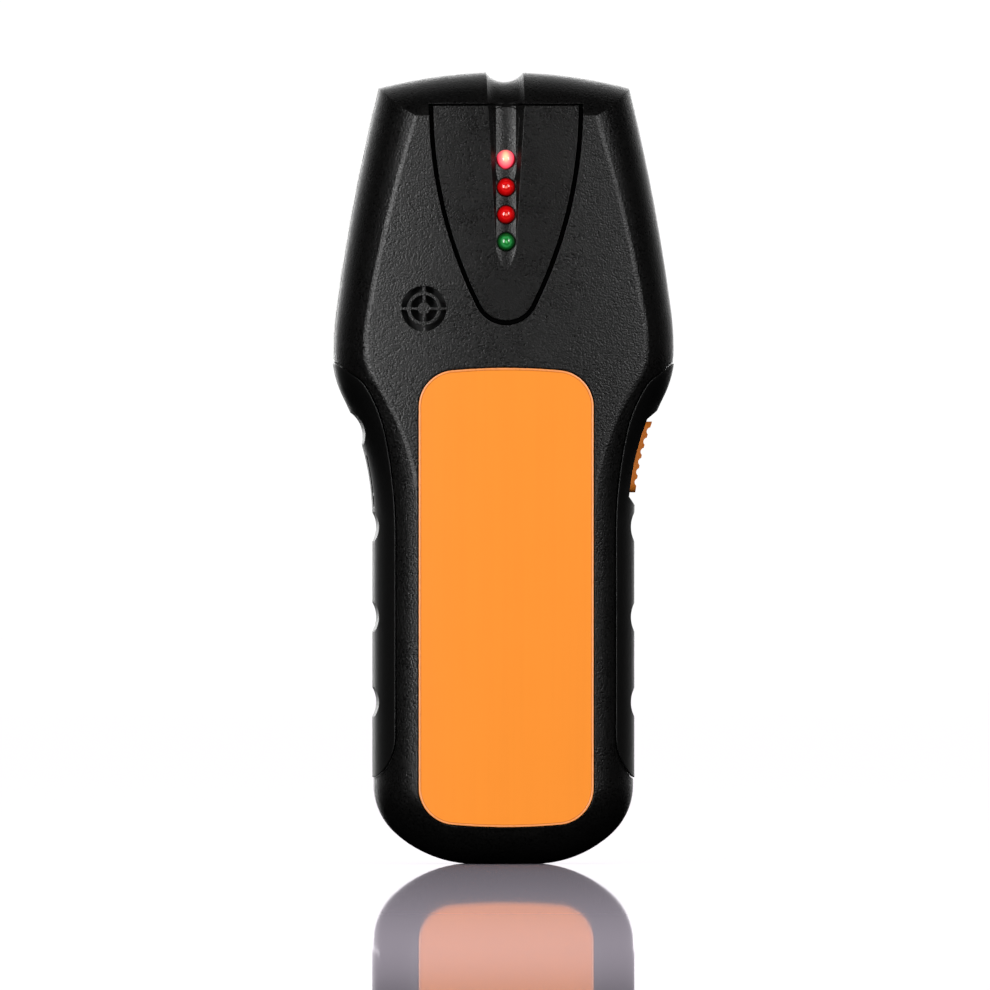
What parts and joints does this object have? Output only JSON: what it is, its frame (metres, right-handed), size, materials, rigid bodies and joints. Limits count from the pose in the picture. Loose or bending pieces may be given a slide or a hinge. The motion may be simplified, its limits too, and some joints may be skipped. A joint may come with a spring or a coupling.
{
  "type": "stud finder",
  "caption": "Hand-held wall detector with a pencil notch, indicator lamps, ribbed side button, mode slider, soft grips and a battery door on its flat sensing back.",
  "frame": {"origin": "centre of the bottom end, midway through the depth", "axes": "+Z along the length towards the pencil notch, -Y out of the lamp face, +Y out of the flat sensing back, +X to the viewer's right"},
  "size_m": [0.0696, 0.028, 0.1619],
  "materials": {
    "shell_black": "fine matte spark-eroded texture",
    "bezel_black": "satin black",
    "grip_black": "soft satin rubber",
    "orange": "satin orange film",
    "orange_button": "satin orange",
    "label_silver": "blank satin label",
    "red_lens": "clear tinted red",
    "green_lens": "clear tinted green",
    "white_plastic": "satin",
    "black_plastic": "satin",
    "board_green": "solder mask",
    "copper": "lacquered",
    "tin": "tinned",
    "spring_steel": "bright wire",
    "foam_black": "open cell foam",
    "battery_skin": "printed metal jacket, blank",
    "cell_can": "satin",
    "lead_red": "insulation",
    "lead_black": "insulation",
    "screw_zinc": "zinc plated"
  },
  "bodies": {
    "root": {"front_shell": "shell_black", "back_shell": "shell_black", "grip_left": "grip_black", "grip_right": "grip_black", "led_bezel": "bezel_black", "label_panel": "orange", "back_label": "label_silver", "scan_switch_body": "black_plastic", "button_spring": "spring_steel", "mode_switch_body": "tin", "main_board": "board_green", "sensor_plates": "copper", "metal_coil": "copper", "buzzer": "black_plastic", "buzzer_gasket": "foam_black", "led_holder": "white_plastic", "led_leads": "tin", "chip_pins": "tin", "trimmers": "white_plastic", "capacitor": "black_plastic", "smd_parts": "black_plastic", "battery_jacket": "battery_skin", "battery_cells": "cell_can", "battery_end": "black_plastic", "battery_positive": "tin", "battery_negative": "tin", "snap_cap": "black_plastic", "snap_contacts": "tin", "red_lead": "lead_red", "black_lead": "lead_black", "case_screws": "screw_zinc", "board_screws": "screw_zinc", "led_red_1": "red_lens", "led_red_2": "red_lens", "led_red_3": "red_lens", "led_green": "green_lens", "controller_chip": "black_plastic", "amplifier_chip": "black_plastic"},
    "button": {"scan_button": "orange_button", "scan_switch_stem": "white_plastic"},
    "knob": {"mode_knob": "orange_button", "mode_switch_slider": "black_plastic"},
    "door": {"battery_door": "shell_black", "door_foam": "foam_black"}
  },
  "joints": [
    {"name": "scan_button_press", "type": "slide", "parent": "root", "child": "button", "axis": [-1, 0, 0], "range_m": [0, 0.0012], "stiffness_N_per_m": 800, "springref_m": -0.0015, "deforming": ["button_spring"]},
    {"name": "mode_select", "type": "slide", "parent": "root", "child": "knob", "axis": [0, 0, 1], "range_m": [-0.002, 0.002]},
    {"name": "battery_door_open", "type": "hinge", "parent": "root", "child": "door", "pos_m": [0, 0.01315, 0.009], "axis": [-1, 0, 0], "range_deg": [0, 60]}
  ]
}
